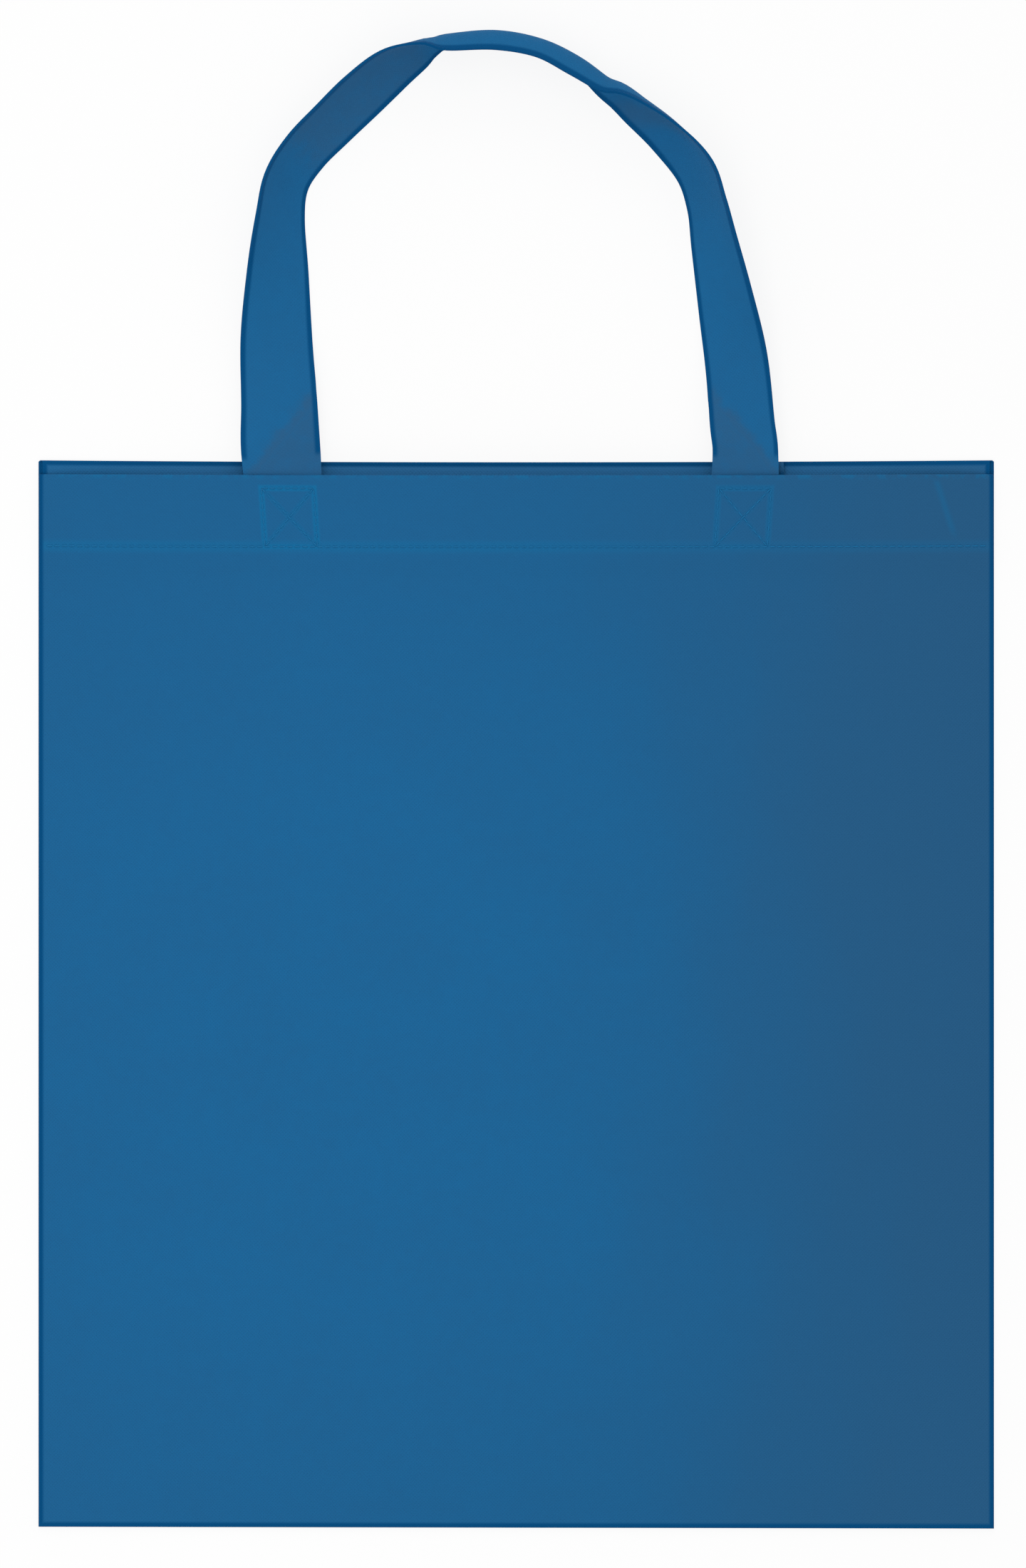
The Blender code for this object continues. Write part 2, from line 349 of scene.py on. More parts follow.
# The front handle's strap. Each row of its route holds x as a share of half the foot spacing, y above
# the mouth as a share of the rise, lean in degrees, curl as a share of the width, and spread of the width
handle = {
    "width": 0.0275,
    "solid": 0.0012,        # thickness that the frame holds for the strap
    "thickness": 0.0010,
    "inset": 0.029,         # each end runs this far below its mouth edge
    "spacing": 0.185,       # middle of one foot to middle of the other
    "splay": 0.003,         # the sewn ends lie this much closer to the middle
    "rise": 0.1645,
    "exitRun": 0.060,       # the hems let go of the strap over this run
    "clearance": 0.0003,
    "stations": 250,        # steps along the strap
    "segments": 16,         # and across it
    "fineSteps": 24,        # between two rows of the route
    "route": [
        (-1.008, 0.00, 2, 0.00, 1.14), (-1.018, 0.14, 4, 0.00, 1.10), (-1.030, 0.29, 14, 0.00, 1.06),
        (-1.024, 0.44, 28, 0.02, 1.00), (-1.012, 0.58, 47, 0.04, 1.00), (-0.985, 0.67, 51, 0.07, 1.00),
        (-0.905, 0.742, 50, 0.08, 1.00), (-0.788, 0.8095, 48, 0.10, 1.00), (-0.664, 0.877, 46, 0.12, 1.00),
        (-0.534, 0.938, 51, 0.15, 1.00), (-0.400, 0.975, 71, 0.18, 1.00), (-0.340, 0.984, 88, 0.19, 1.00),
        (-0.280, 0.990, 96, 0.205, 1.00), (-0.090, 0.9955, 99, 0.22, 1.00), (0.090, 0.9765, 98, 0.22, 1.00),
        (0.236, 0.9335, 98, 0.24, 1.00), (0.356, 0.883, 88, 0.25, 1.00), (0.430, 0.864, 76, 0.255, 1.00),
        (0.500, 0.838, 68, 0.23, 1.00), (0.637, 0.777, 59, 0.20, 1.00), (0.764, 0.698, 57, 0.09, 1.00),
        (0.817, 0.614, 57, 0.05, 1.00), (0.850, 0.520, 50, 0.04, 1.00), (0.896, 0.390, 39, 0.03, 1.00),
        (0.944, 0.240, 26, 0.03, 1.00), (0.970, 0.090, 20, 0.04, 1.00), (0.984, 0.00, 17, 0.04, 1.00),
    ],
}


# Place t on the smooth curve from b to c, with a and d beside them
def onCurve(a, b, c, d, t):
    return 0.5 * (2 * b + (c - a) * t + (2 * a - 5 * b + 4 * c - d) * t * t
                  + (3 * b - a - 3 * c + d) * t ** 3)


# Even steps along a smooth curve through the rows
def smoothRows(rows, count):
    padded = [[2 * a - b for a, b in zip(rows[0], rows[1])]] + [list(row) for row in rows]
    padded.append([2 * a - b for a, b in zip(rows[-1], rows[-2])])
    fine = []
    for k in range(1, len(padded) - 2):
        for step in range(handle["fineSteps"]):
            t = step / handle["fineSteps"]
            fine.append([onCurve(a, b, c, d, t) for a, b, c, d in zip(*padded[k - 1:k + 3])])
    fine.append(list(rows[-1]))
    run = [0.0]
    for a, b in zip(fine, fine[1:]):
        run.append(run[-1] + math.dist(a[:2], b[:2]))
    picked, k = [], 0
    for i in range(count + 1):
        target = run[-1] * i / count
        while k < len(run) - 2 and run[k + 1] < target:
            k += 1
        t = (target - run[k]) / (run[k + 1] - run[k])
        picked.append([mix(a, b, t) for a, b in zip(fine[k], fine[k + 1])])
    return picked, run[-1]


# Points across one place of the leaning, curled strap, resting on its lowest edge
def strapAcross(centre, outward, lean, curl, width):
    chord = width - 8 * curl * curl / (3 * width)  # of a shallow arc as long as the width
    lean = math.radians(lean)
    points, lowest = [], 1.0
    for i in range(handle["segments"] + 1):
        v = 2 * i / handle["segments"] - 1
        p, q = v * chord / 2, curl * (1 - v * v)
        level = outward * (p * math.cos(lean) + q * math.sin(lean))
        z = p * math.sin(lean) - q * math.cos(lean)
        normal = Vector((2 * curl * v, chord / 2)).normalized()
        rise = abs(normal.x * math.sin(lean) - normal.y * math.cos(lean)) * handle["solid"] / 2
        lowest = min(lowest, z - rise)
        points.append(Vector((centre.x + level.x, centre.y + level.y, z)))
    for point in points:
        point.z -= lowest
    return points


# Each foot is creased on a slant, and its inner corner dips
footCreases = {
    "lines": [((-0.1039, 0.1262), (-0.0849, 0.1503)), ((0.0815, 0.1446), (0.1007, 0.1270))],
    "valley": 0.0006,
    "valleyWidth": 0.0026,
    "slope": 0.20,          # of the dip
    "slopeStart": 0.004,
    "fade": (0.118, 0.130),
    "end": 0.180,
    "endFade": 0.030,
}


def footDip(x, y):
    (ax, ay), (bx, by) = footCreases["lines"][0 if x < 0 else 1]
    run = math.dist((ax, ay), (bx, by))
    aside = ((x - ax) * (by - ay) - (y - ay) * (bx - ax)) / run
    low, high = footCreases["fade"]
    fade = smoothStep((y - low) / (high - low))
    fade = fade * smoothStep((footCreases["end"] - y) / footCreases["endFade"])
    dip = footCreases["slope"] * max(0.0, aside) * smoothStep(aside / footCreases["slopeStart"])
    return fade * (dip + footCreases["valley"] * math.exp(-(aside / footCreases["valleyWidth"]) ** 2))


def makeFrontHandle():
    half = handle["spacing"] / 2
    endY = frontMouth - handle["inset"]
    path = [[-half + handle["splay"], endY, 0.0, 0.0, 1.0]]
    path += [[x * half, backMouth + y * handle["rise"], lean, curl, spread]
             for x, y, lean, curl, spread in handle["route"]]
    path += [[half - handle["splay"], endY, 0.0, 0.0, 1.0]]
    stations, length = smoothRows(path, handle["stations"])
    rows, places = [], []
    for k, (x, y, lean, curl, spread) in enumerate(stations):
        before, after = stations[max(k - 1, 0)], stations[min(k + 1, len(stations) - 1)]
        ahead = Vector((after[0] - before[0], after[1] - before[1])).normalized()
        outward = Vector((-ahead.y, ahead.x))
        width = handle["width"] * spread
        row = strapAcross(Vector((x, y)), outward, lean, curl * handle["width"], width)
        for point in row:
            hold = 1.0 - smoothStep((point.y - backMouth) / handle["exitRun"])
            held = 2 * ply + spaceHeight(point.x, point.y) - handle["clearance"] - handle["solid"] / 2
            point.z = mix(point.z, held - slack(point.x, point.y), hold)
            point.y += originY
            point.z = max(point.z - footDip(point.x, point.y), handle["solid"] / 2)
        rows.append(row)
        places.append([((i / handle["segments"] - 0.5) * handle["width"], length * k / handle["stations"])
                       for i in range(handle["segments"] + 1)])
    piece = addClothGrid("frontStrap", rows, places)
    giveThickness(piece, handle["thickness"], 0.0, False)
    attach(piece, "root")
    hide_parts("front_handle")
    return piece, length


# The rear handle, turned back at the mouth and folded twice on the back panel
rear = {
    "turnGap": 0.0012,      # between the two layers of the turn at the mouth
    "settleRun": 0.022,     # from the turn down to the back panel
    "turnSteps": 8,
    "segments": 8,
    "step": 0.005,
}


def makeRearHandle(length):
    half = handle["spacing"] / 2
    solid, clear, width = handle["solid"], handle["clearance"], handle["width"]
    up = Vector((0, 0, 1))
    hemLevel = 2 * ply + clear + solid / 2
    floorLevel = ply + clear + solid / 2
    turnRadius = (solid + rear["turnGap"]) / 2
    mitreRadius = (solid + clear) / 2
    turnY = backMouth - turnRadius - solid
    endY = backMouth - handle["inset"]
    cornerY = turnY - (length - 2 * (handle["inset"] + bag["frontDrop"]) - handle["spacing"]) / 2
    steps = rear["turnSteps"]

    def fold(middle, across, out, radius):
        turned = []
        for step in range(steps + 1):
            angle = math.pi * step / steps
            centre = middle + out * radius * math.sin(angle) + up * radius * (1 - math.cos(angle))
            turned.append((centre - across / 2, centre + across / 2))
        return turned

    def leg(side):
        x = side * half
        across = Vector((-side * width, 0, 0))
        row = [(Vector((x, endY, hemLevel)) - across / 2, Vector((x, endY, hemLevel)) + across / 2)]
        row += fold(Vector((x, turnY, hemLevel)), across, Vector((0, 1, 0)), turnRadius)
        for step in range(steps + 1):
            t = step / steps
            level = mix(hemLevel + 2 * turnRadius, floorLevel, smoothStep(t))
            centre = Vector((x, endY - rear["settleRun"] * t, level))
            row.append((centre - across / 2, centre + across / 2))
        slant = Vector((-side * width, -width, 0))
        row += fold(Vector((x, cornerY, floorLevel)), slant, Vector((side, -1, 0)).normalized(), mitreRadius)
        return row

    # The two faces change places at each mitre, so both legs run with the same edge first
    path = leg(-1) + leg(1)[::-1]
    rows, places, run = [], [], 0.0

    def addRow(a, b, atRun):
        rows.append([a.lerp(b, k / rear["segments"]) for k in range(rear["segments"] + 1)])
        places.append([((k / rear["segments"] - 0.5) * width, atRun) for k in range(rear["segments"] + 1)])

    for (left, right), (nextLeft, nextRight) in zip(path, path[1:]):
        gap = ((nextLeft + nextRight) / 2 - (left + right) / 2).length
        count = max(1, round(gap / rear["step"]))
        for i in range(count):
            addRow(left.lerp(nextLeft, i / count), right.lerp(nextRight, i / count), run + gap * i / count)
        run += gap
    addRow(path[-1][0], path[-1][1], run)
    for row in rows:
        for point in row:
            point.y += originY
    piece = addClothGrid("rearStrap", rows, places)
    giveThickness(piece, handle["thickness"], 0.0, False)
    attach(piece, "root")
    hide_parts("rear_handle")
    return piece


# Sewing: a running line along each hem and a crossed box over each strap end
sewing = {
    "pitch": 0.0030,
    "stitch": 0.0027,
    "radius": 0.00028,
    "sides": 7,
    "straightShare": 0.55,  # of a stitch, before its two ends dip into the cloth
    "endShare": 0.225,
    "endDrop": 0.7,         # this and the two lifts are shares of the radius
    "frontLift": 0.25,
    "backLift": 0.9,
    "endTaper": 0.5,
    "sideGap": 0.003,
    "hemLine": 0.0285,      # below the mouth edge
    "boxIn": 0.0900,        # middle of a box from the middle of the bag
    "boxWide": 0.0104,      # half its width
    "boxTall": 0.0116,      # half its height
    "boxTilt": 0.065,
}


def boxLines(mouth):
    low = mouth - sewing["hemLine"]
    middle = low + sewing["boxTall"]
    corners = []
    for sx, sy in ((-1, -1), (1, -1), (1, 1), (-1, 1)):
        corners.append((sewing["boxIn"] + sx * sewing["boxWide"] + sewing["boxTilt"] * sy * sewing["boxTall"],
                        middle + sy * sewing["boxTall"]))
    a, b, c, d = corners
    return [(a, b), (b, c), (c, d), (d, a), (a, c), (d, b)]


def addStitch():
    deselectAll()
    straight = sewing["stitch"] * sewing["straightShare"]
    bpy.ops.mesh.primitive_cylinder_add(vertices=sewing["sides"], radius=sewing["radius"], depth=straight,
                                        rotation=(0, math.pi / 2, 0))
    stitch = bpy.context.active_object
    bpy.ops.object.transform_apply(location=False, rotation=True, scale=False)
    for side in (-1, 1):
        bpy.ops.object.mode_set(mode="EDIT")
        bpy.ops.mesh.select_mode(type="FACE")
        bpy.ops.mesh.select_all(action="DESELECT")
        bpy.ops.object.mode_set(mode="OBJECT")
        for face in stitch.data.polygons:
            face.select = face.normal.x * side > 0.9  # the flat end
        bpy.ops.object.mode_set(mode="EDIT")
        shift = (side * sewing["stitch"] * sewing["endShare"], 0, -sewing["radius"] * sewing["endDrop"])
        bpy.ops.mesh.extrude_region_move(TRANSFORM_OT_translate={"value": shift})
        bpy.ops.transform.resize(value=(1, sewing["endTaper"], sewing["endTaper"]))
        bpy.ops.object.mode_set(mode="OBJECT")
    bpy.ops.object.shade_smooth()
    return stitch


def sewLine(first, last, surface, stitch, made):
    run = math.dist(first, last)
    count = max(1, round(run / sewing["pitch"]))
    for i in range(count):
        a = (i + 0.5) / count - 0.5 * sewing["stitch"] / run
        b = (i + 0.5) / count + 0.5 * sewing["stitch"] / run
        start = surface(mix(first[0], last[0], a), mix(first[1], last[1], a))
        end = surface(mix(first[0], last[0], b), mix(first[1], last[1], b))
        along = (end - start).normalized()
        up = Vector((0, 0, 1 if surface is onFront else -1))
        side = up.cross(along).normalized()
        turned = Matrix((along, side, along.cross(side))).transposed()
        copied = stitch.copy()
        copied.data = stitch.data.copy()
        copied.matrix_world = Matrix.Translation((start + end) / 2) @ turned.to_4x4()
        bpy.context.collection.objects.link(copied)
        made.append(copied)


def onFront(x, y):
    return Vector((x, y + drift(x, y) + originY, frontTop(x, y) + sewing["radius"] * sewing["frontLift"]))


def onBack(x, y):
    return Vector((x, y + drift(x, y) + originY, sewing["radius"] * sewing["backLift"]))


def makeThread(name, mouth, surface):
    stitch = addStitch()
    made = []
    line = mouth - sewing["hemLine"]
    lineEnd = halfWidth - sewing["sideGap"]
    sewLine((-lineEnd, line), (lineEnd, line), surface, stitch, made)
    for side in (-1, 1):
        for (ax, ay), (bx, by) in boxLines(mouth):
            if ay == by and abs(ay - line) < 1e-6:
                continue  # the hem line is the box's lower side
            sewLine((side * ax, ay), (side * bx, by), surface, stitch, made)
    bpy.data.objects.remove(stitch, do_unlink=True)
    deselectAll()
    for copied in made:
        copied.select_set(True)
    bpy.context.view_layer.objects.active = made[0]
    bpy.ops.object.join()
    thread = bpy.context.active_object
    thread.name = thread.data.name = name
    bpy.ops.object.transform_apply(location=True, rotation=True, scale=True)
    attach(thread, "root")
    return thread


# Pressed non-woven cloth: bond points, cloudy fibre density, and painted shade along its edges
clothLook = {
    "colour": (0.0117, 0.134, 0.325, 1.0),
    "cloudy": (0.0137, 0.123, 0.295, 1.0),
    # Painted shade colour for the rounded edges of the cloth
    "edge": (0.0008, 0.074, 0.215, 1.0),
    "edgeShadeReach": (0.0012, 0.0026),
    "pitch": 0.0014,                # of the bond points
    "bondReach": (0.15, 0.85),
    "bondDepth": 0.00007,
    "fibreDepth": 0.00003,
    "clouds": (170.0, 4.0, 0.6),    # scale, detail and roughness of a noise
    "broad": (22.0, 2.0, 0.5),
    "fibres": (2600.0, 2.0, 0.7),
    "cloudReach": (0.30, 0.72),
    "broadReach": (0.30, 0.70),
    "cloudShare": 0.35,
    "broadShare": 0.35,
    "bondShare": 0.30,
    "roughness": 0.80,
    "roughnessSpread": 0.10,
    "specular": 0.05,
    "sheen": 0.07,
    "sheenRoughness": 0.25,
}

# Tones, pressed lines and folds of the bag's panels, with painted shade and painted highlights among them
panelLook = {
    # Painted shade: darker away from a lit middle of the panel
    "outerShade": (0.0145, 0.112, 0.264, 1.0),   # away from the middle of the panel
    "outerShadeShare": 0.75,
    "outerShadeReach": (0.06, 0.30),
    "middleLeft": 0.075,                     # the plain middle, from the bag's middle
    "middleDown": 0.235,                     # and from the mouth edge
    "middleSquash": 0.7,
    # Painted shade: greyer towards the right side, where the light falls off
    "rightShade": (0.0205, 0.109, 0.244, 1.0),   # towards the right side
    "rightShadeReach": (0.015, 0.185),
    "streaks": (26.0, 3.0, 0.55),
    "streakStretch": 0.35,
    "streakShift": 0.09,
    # Partly pressed cloth, partly a painted highlight along the sewing
    "seam": (0.0080, 0.152, 0.350, 1.0),     # pressed by the sewing
    "grooveDepth": 0.00008,
    "grooveReach": (0.0002, 0.0012),
    "lineReach": (0.0004, 0.0036),
    "lineShare": 0.55,
    "boxReach": (0.0005, 0.0018),
    "crossReach": (0.0003, 0.0016),
    "crossShare": 0.5,
    "crossSlant": 0.74,                      # gap across to distance from the slanted line
    "crossEnd": 4.0,                         # fades the cross outside its box
    # Painted shade: the sewing's highlight dims towards the right side
    "pressReach": (-0.02, 0.08),             # the lines are weaker on the right side
    "pressRight": 0.5,
    "creasePlace": 0.1662,                   # soft crease across the front hem near its right end
    "creaseSlope": 0.325,
    "creaseSlant": 0.95,
    "creaseWidth": 0.0022,
    "creaseHeight": 0.00012,
    # Painted highlight on the crease ridge
    "creaseHighlightShare": 0.35,
    "creaseTop": (0.001, 0.004),
    "creaseBottom": (0.020, 0.027),
    "frontOnly": (-0.0001, 0.0001),
    # Painted highlight along the front mouth edge
    "lipHighlightReach": (0.0005, 0.0026),            # lighter lip along the front mouth edge
    "lipHighlightShare": 0.5,
    "lipHighlightClouds": (0.45, 0.60),
    # Painted light against the shade on the back hem's strip, and the paler reverse face of the cloth
    "reverseLightened": (0.0295, 0.168, 0.380, 1.0),  # strip of the back hem above the front mouth edge
    "reverseTop": (0.0, 0.0003),
    "reverseBottom": (0.008, 0.012),
    "reverseSides": (0.11, 0.186),
    "reverseAtSides": 0.25,
}

# Painted shade on a strap, whose run starts at the end of its left foot
strapLook = {
    # Painted grey shade on the strap
    "paintedShade": (0.0240, 0.115, 0.256, 1.0),
    "shoulderStart": (0.152, 0.168),         # where it leans over
    "shoulderEnd": (0.216, 0.226),
    "shoulderUneven": 0.016,
    "shoulderShare": 0.8,
    # Painted shade along a slanted fold on the right shoulder
    "foldShadePlace": 0.320,                    # slanted fold on the right shoulder
    "foldShadeSlope": 0.95,
    "foldShadeUneven": 0.006,
    "foldShadeReach": (0.002, 0.011),
    "foldShadeShare": 0.85,
    "footAcross": 0.0095,                    # slanted creases at both feet
    "footAlong": 0.034,
    "footLean": (-0.787, -0.617),
    "footUneven": 0.006,
    "footReach": (-0.0035, 0.0055),
    "footShare": 0.85,
    "footFold": 0.0022,
    "footFoldWidth": 0.0042,
    "rightWider": 0.0012,
    "shadeClouds": (0.25, 0.60),
    "shadeLeast": 0.7,
    "hemEnd": (0.0345, 0.0375),              # the strap leaves the hems here
}


def addNoise(start, place, look):
    scale, detail, roughness = look
    return start.node("ShaderNodeTexNoise", {},
                      {"Vector": place, "Scale": scale, "Detail": detail, "Roughness": roughness})


# Both panels run from their mouth edge, so one set of lines serves both
def markPanels(start, across, along, clouds, colour, height):
    look = panelLook
    mouthFront = -(2 * backMouth - bag["frontDrop"])
    down = abs(along).least(along - mouthFront)
    lineGap = abs(down - sewing["hemLine"])
    localY = sewing["hemLine"] - sewing["boxTall"] - down
    localX = abs(across) - sewing["boxIn"] - localY * sewing["boxTilt"]
    outside = (abs(localX) - sewing["boxWide"]).most(abs(localY) - sewing["boxTall"])
    cross = abs(abs(localX) - abs(localY) * (sewing["boxWide"] / sewing["boxTall"])) * look["crossSlant"]
    cross = cross + outside.most(0.0) * look["crossEnd"]

    # Painted shade: darker and softer away from a lit middle, and duller in streaks towards the right side
    offX, offY = across + look["middleLeft"], down - look["middleDown"]
    away = (offX * offX + offY * offY * look["middleSquash"]).root()
    colour = (away.ramp(*look["outerShadeReach"]) * look["outerShadeShare"]).tint(colour, look["outerShade"])
    stretched = start.node("ShaderNodeCombineXYZ", {}, {"X": across, "Y": along * look["streakStretch"]})
    streaks = addNoise(start, stretched, look["streaks"])
    shifted = across + (streaks - 0.5) * look["streakShift"]
    colour = shifted.ramp(*look["rightShadeReach"]).tint(colour, look["rightShade"])

    # The thread presses a groove, and the cloth beside it is smoother; its lighter line is partly pressed
    # cloth and partly a painted highlight, dimmed on the right side by painted shade
    groove = lineGap.least(abs(outside)).least(cross).fall(*look["grooveReach"])
    height = height - groove * look["grooveDepth"]
    pressedAndHighlight = lineGap.fall(*look["lineReach"], look["lineShare"]).most(abs(outside).fall(*look["boxReach"]))
    pressedAndHighlight = pressedAndHighlight.most(cross.fall(*look["crossReach"], look["crossShare"]))
    pressedAndHighlight = pressedAndHighlight * across.fall(*look["pressReach"], 1.0, look["pressRight"])
    colour = pressedAndHighlight.tint(colour, look["seam"])

    # A soft crease across the front hem near its right end; its lighter tone is a painted highlight on the
    # ridge
    crease = abs(across - look["creasePlace"] - down * look["creaseSlope"]) * look["creaseSlant"]
    reach = down.ramp(*look["creaseTop"]) * down.fall(*look["creaseBottom"])
    reach = reach * (along + backMouth).fall(*look["frontOnly"])
    crease = crease.fall(0.0, look["creaseWidth"]) * reach
    height = height + crease * look["creaseHeight"]
    colour = (crease * look["creaseHighlightShare"]).tint(colour, look["seam"])

    # The front mouth edge gets a painted highlight along its lip, and the back hem shows above it, lightened
    # by painted light against its shade and paler on its reverse face
    lipHighlight = (along - mouthFront).fall(*look["lipHighlightReach"], look["lipHighlightShare"]) * clouds.ramp(*look["lipHighlightClouds"])
    colour = lipHighlight.tint(colour, look["seam"])
    # The strip is lightened: painted light against its shade, and the paler reverse face
    inner = along.ramp(*look["reverseTop"]) * along.fall(*look["reverseBottom"])
    inner = inner * abs(across).fall(*look["reverseSides"], 1.0, look["reverseAtSides"])
    return inner.tint(colour, look["reverseLightened"]), height


# Painted grey shade where the strap leans over at the shoulders, along a slanted fold on the right shoulder,
# and on the slanted creases at its feet
def shadeStrap(across, along, clouds, strapLength):
    look = strapLook
    paintedShade = (along + (clouds - 0.5) * look["shoulderUneven"]).ramp(*look["shoulderStart"])
    paintedShade = paintedShade * along.fall(*look["shoulderEnd"])
    foldShade = along - across * look["foldShadeSlope"] - look["foldShadePlace"]
    foldShade = abs(foldShade + (clouds - 0.5) * look["foldShadeUneven"])
    foldShade = foldShade.fall(*look["foldShadeReach"], look["foldShadeShare"])
    paintedShade = (paintedShade * look["shoulderShare"]).most(foldShade)
    leanX, leanY = look["footLean"]
    for run, wider in ((along, 0.0), (strapLength - along, look["rightWider"])):
        slant = (across - look["footAcross"]) * leanX + (run - look["footAlong"]) * leanY + wider
        slant = slant + (clouds - 0.5) * look["footUneven"]
        paintedShade = paintedShade.most(slant.ramp(*look["footReach"]) * look["footShare"])
        paintedShade = paintedShade.most(abs(slant - look["footFold"]).fall(0.0, look["footFoldWidth"]))
    return paintedShade * clouds.ramp(*look["shadeClouds"], look["shadeLeast"], 1.0)


def clothMaterial(name, isBag, strapLength=0.0):
    material, shader, start = startMaterial(name)
    place = start.node("ShaderNodeUVMap", {}, {})
    across = start.node("ShaderNodeSeparateXYZ", {}, {"Vector": place}, output=0)
    along = start.node("ShaderNodeSeparateXYZ", {}, {"Vector": place}, output=1)

    # Bond points in staggered rows
    turn = 2 * math.pi / clothLook["pitch"]
    bonds = ((across * turn).sine() * (along * turn).sine()).ramp(*clothLook["bondReach"])

    # Fibre density, cloudy over a few millimetres, and single fibres
    clouds = addNoise(start, place, clothLook["clouds"])
    broad = addNoise(start, place, clothLook["broad"])
    fibres = addNoise(start, place, clothLook["fibres"])
    density = (clouds.ramp(*clothLook["cloudReach"]) * clothLook["cloudShare"]
               + broad.ramp(*clothLook["broadReach"]) * clothLook["broadShare"]
               + bonds * clothLook["bondShare"])

    # Distance from the cloth's edges
    half = halfWidth if isBag else handle["width"] / 2
    rim = half - abs(across)
    if isBag:
        rim = rim.least(abs(along)).least(abs(along + backMouth))
    # Painted shade darkens the cloth close to its rounded edges
    edge = rim.fall(*clothLook["edgeShadeReach"])

    height = fibres * clothLook["fibreDepth"] - bonds * clothLook["bondDepth"]
    colour = density.tint(clothLook["colour"], clothLook["cloudy"])
    if isBag:
        colour, height = markPanels(start, across, along, clouds, colour, height)
    else:
        # Painted shade on the strap
        colour = shadeStrap(across, along, clouds, strapLength).tint(colour, strapLook["paintedShade"])
        # Its edges show no painted edge shade between the hems
        edge = edge * along.ramp(*strapLook["hemEnd"]) * (strapLength - along).ramp(*strapLook["hemEnd"])
    colour = edge.tint(colour, clothLook["edge"])
    material.node_tree.links.new(colour.socket, shader.inputs["Base Color"])

    spread = clothLook["roughnessSpread"]
    rough = clouds * spread + (clothLook["roughness"] - spread / 2) - bonds * spread
    material.node_tree.links.new(rough.socket, shader.inputs["Roughness"])
    bump = start.node("ShaderNodeBump", {}, {"Strength": 1.0, "Distance": 1.0, "Height": height})
    material.node_tree.links.new(bump.socket, shader.inputs["Normal"])
    shader.inputs["Specular IOR Level"].default_value = clothLook["specular"]
    shader.inputs["Sheen Weight"].default_value = clothLook["sheen"]
    shader.inputs["Sheen Roughness"].default_value = clothLook["sheenRoughness"]
    return material


# Thread: twisted, a little lighter than the cloth
threadLook = {
    "colour": (0.0080, 0.172, 0.392, 1.0),
    "shade": (0.0080, 0.135, 0.320, 1.0),
    "twistScale": 900.0,
    "twistDistortion": 0.6,
    "bump": 0.6,
    "bumpHeight": 0.0001,
    "roughness": 0.6,
    "specular": 0.15,
}


def threadMaterial():
    material, shader, start = startMaterial("sewingThread")
    place = start.node("ShaderNodeTexCoord", {}, {}, output=3)  # object coordinates
    wave = start.node("ShaderNodeTexWave", {"bands_direction": "DIAGONAL"},
                      {"Vector": place, "Scale": threadLook["twistScale"],
                       "Distortion": threadLook["twistDistortion"]})
    twist = Wire(material.node_tree, wave.socket.node.outputs["Fac"])
    colour = twist.tint(threadLook["shade"], threadLook["colour"])
    material.node_tree.links.new(colour.socket, shader.inputs["Base Color"])
    bump = start.node("ShaderNodeBump", {},
                      {"Strength": threadLook["bump"], "Distance": threadLook["bumpHeight"], "Height": twist})
    material.node_tree.links.new(bump.socket, shader.inputs["Normal"])
    shader.inputs["Roughness"].default_value = threadLook["roughness"]
    shader.inputs["Specular IOR Level"].default_value = threadLook["specular"]
    return material


def dress(piece, material):
    piece.data.materials.clear()
    piece.data.materials.append(material)


bagPiece = makeBag()
print("bag cloth:", len(bagPiece.data.polygons), "faces")
frontPiece, handleLength = makeFrontHandle()
print("front handle:", len(frontPiece.data.polygons), "faces, length", round(handleLength, 4))
rearPiece = makeRearHandle(handleLength)
print("rear handle:", len(rearPiece.data.polygons), "faces")
frontThread = makeThread("frontThread", frontMouth, onFront)
backThread = makeThread("backThread", backMouth, onBack)
print("sewing:", len(frontThread.data.polygons) + len(backThread.data.polygons), "faces")

dress(bagPiece, clothMaterial("bagCloth", True))
strapMaterial = clothMaterial("strapCloth", False, handleLength)
dress(frontPiece, strapMaterial)
dress(rearPiece, strapMaterial)
threadPaint = threadMaterial()
dress(frontThread, threadPaint)
dress(backThread, threadPaint)
print("materials done")

# Stage: white table, a long soft lamp overhead to the left, a weak one beyond the handle,
# and the camera straight above
stage = {
    "floorColour": (0.97, 0.97, 0.97, 1.0),
    "floorSize": 8.0,
    "floorDrop": 0.0004,    # the table lies this far below the bag
    "floorRoughness": 0.9,
    "floorSpecular": 0.1,
    "seenWhite": 0.86,      # share of the table top that the camera sees as plain white
    "white": (1.0, 1.0, 1.0, 1.0),
    "lampPlace": (-0.21, -0.14, 0.95),
    "lampSize": (0.45, 2.0),
    "lampPower": 4.0,
    "topLampPlace": (0.1, 2.4, 1.5),
    "topLampSize": 0.9,
    "topLampPower": 8.5,
    "ambient": 0.66,
    "lens": 250.0,
    "farthest": 50.0,
    "cameraPlace": (-0.00128, -0.00167, 4.33),
}


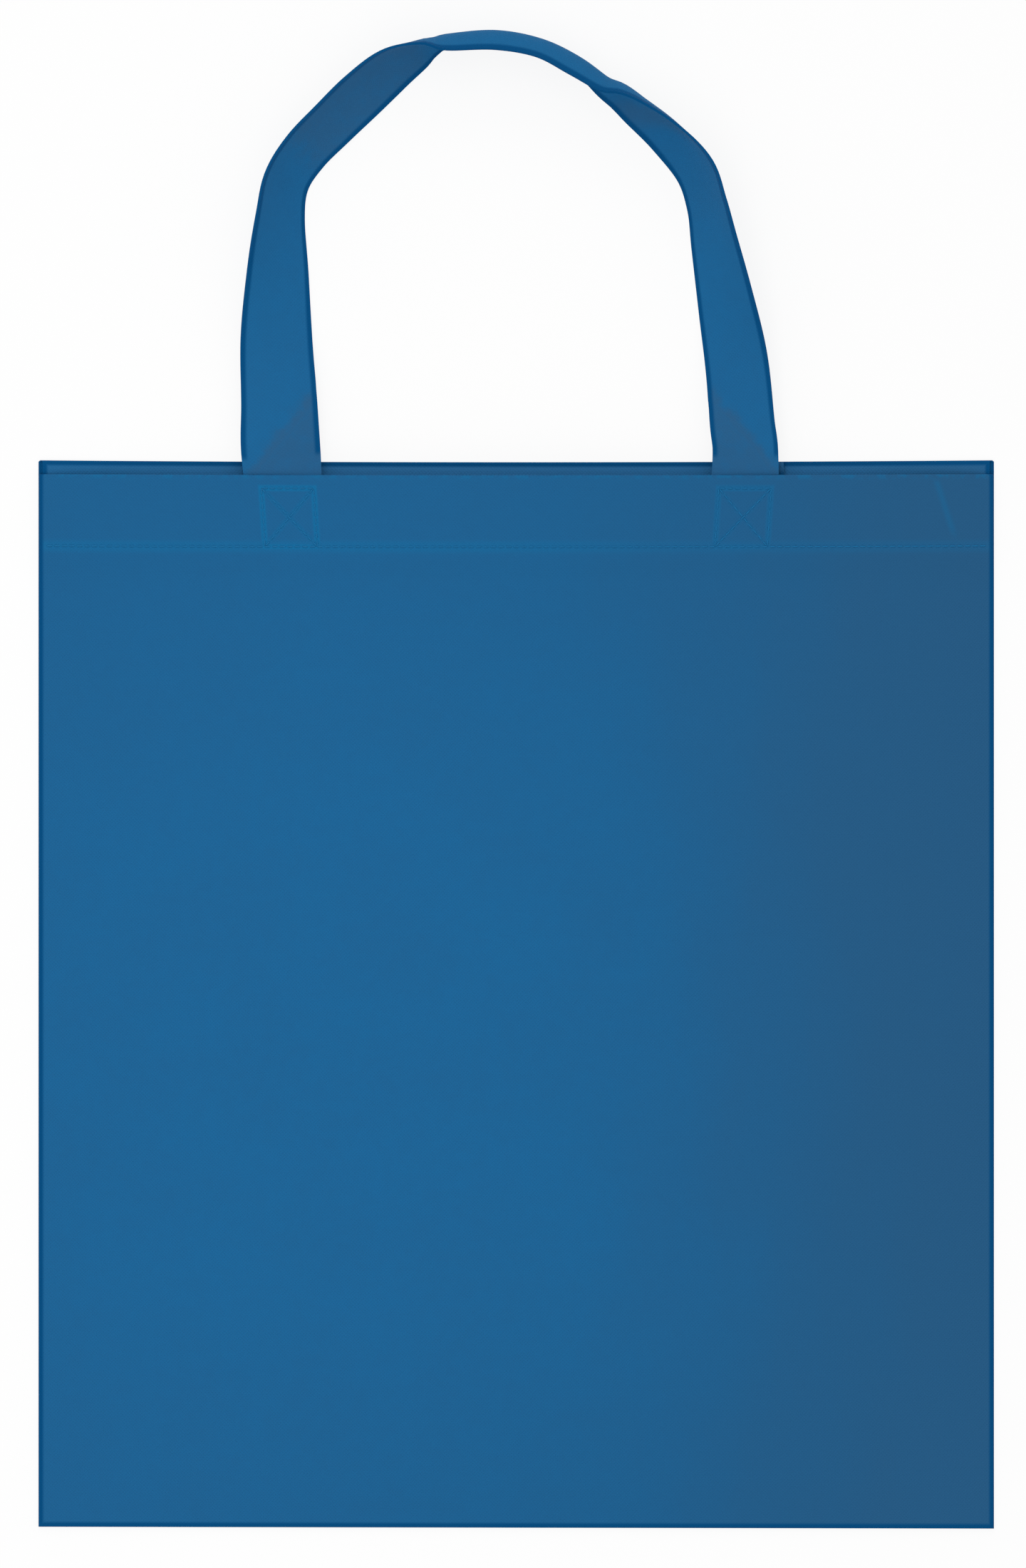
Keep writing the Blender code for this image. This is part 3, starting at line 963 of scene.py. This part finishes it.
# 1 on rays from the camera, also by way of a gloss or through glass
def seenDirectly(start):
    path = start.node("ShaderNodeLightPath", {}, {})
    outs = path.socket.node.outputs
    glossy, through = Wire(start.tree, outs["Is Glossy Ray"]), Wire(start.tree, outs["Is Transmission Ray"])
    return path.most(glossy).most(through)


def makeStage():
    deselectAll()
    bpy.ops.mesh.primitive_plane_add(size=stage["floorSize"], location=(0, 0, -stage["floorDrop"]))
    floor = bpy.context.active_object
    floor.name = "tableTop"
    material, shader, start = startMaterial("tableTop")
    shader.inputs["Base Color"].default_value = stage["floorColour"]
    shader.inputs["Roughness"].default_value = stage["floorRoughness"]
    shader.inputs["Specular IOR Level"].default_value = stage["floorSpecular"]
    light = start.node("ShaderNodeEmission", {}, {"Color": stage["white"], "Strength": 1.0})
    seen = seenDirectly(start) * stage["seenWhite"]
    surface = start.node("ShaderNodeMixShader", {}, {0: seen, 2: light})
    tree = material.node_tree
    tree.links.new(shader.outputs[0], surface.socket.node.inputs[1])
    tree.links.new(surface.socket, tree.nodes["Material Output"].inputs["Surface"])
    dress(floor, material)

    bpy.ops.object.light_add(type="AREA", location=stage["lampPlace"])
    lamp = bpy.context.active_object
    lamp.data.shape = "RECTANGLE"
    lamp.data.size, lamp.data.size_y = stage["lampSize"]
    lamp.data.energy = stage["lampPower"]

    bpy.ops.object.light_add(type="AREA", location=stage["topLampPlace"])
    topLamp = bpy.context.active_object
    topLamp.rotation_euler = (-Vector(stage["topLampPlace"])).to_track_quat("-Z", "Y").to_euler()
    topLamp.data.size = stage["topLampSize"]
    topLamp.data.energy = stage["topLampPower"]

    world = bpy.data.worlds.new("studio")
    bpy.context.scene.world = world
    world.use_nodes = True
    tree = world.node_tree
    background = tree.nodes["Background"]
    background.inputs["Color"].default_value = stage["white"]
    strength = seenDirectly(Wire(tree, None)) * (1.0 - stage["ambient"]) + stage["ambient"]
    tree.links.new(strength.socket, background.inputs["Strength"])

    bpy.ops.object.camera_add(location=stage["cameraPlace"], rotation=(0, 0, 0))
    camera = bpy.context.active_object
    camera.data.lens = stage["lens"]
    camera.data.clip_end = stage["farthest"]
    bpy.context.scene.camera = camera
    bpy.context.scene.view_settings.view_transform = "Standard"


makeStage()
print("stage done")
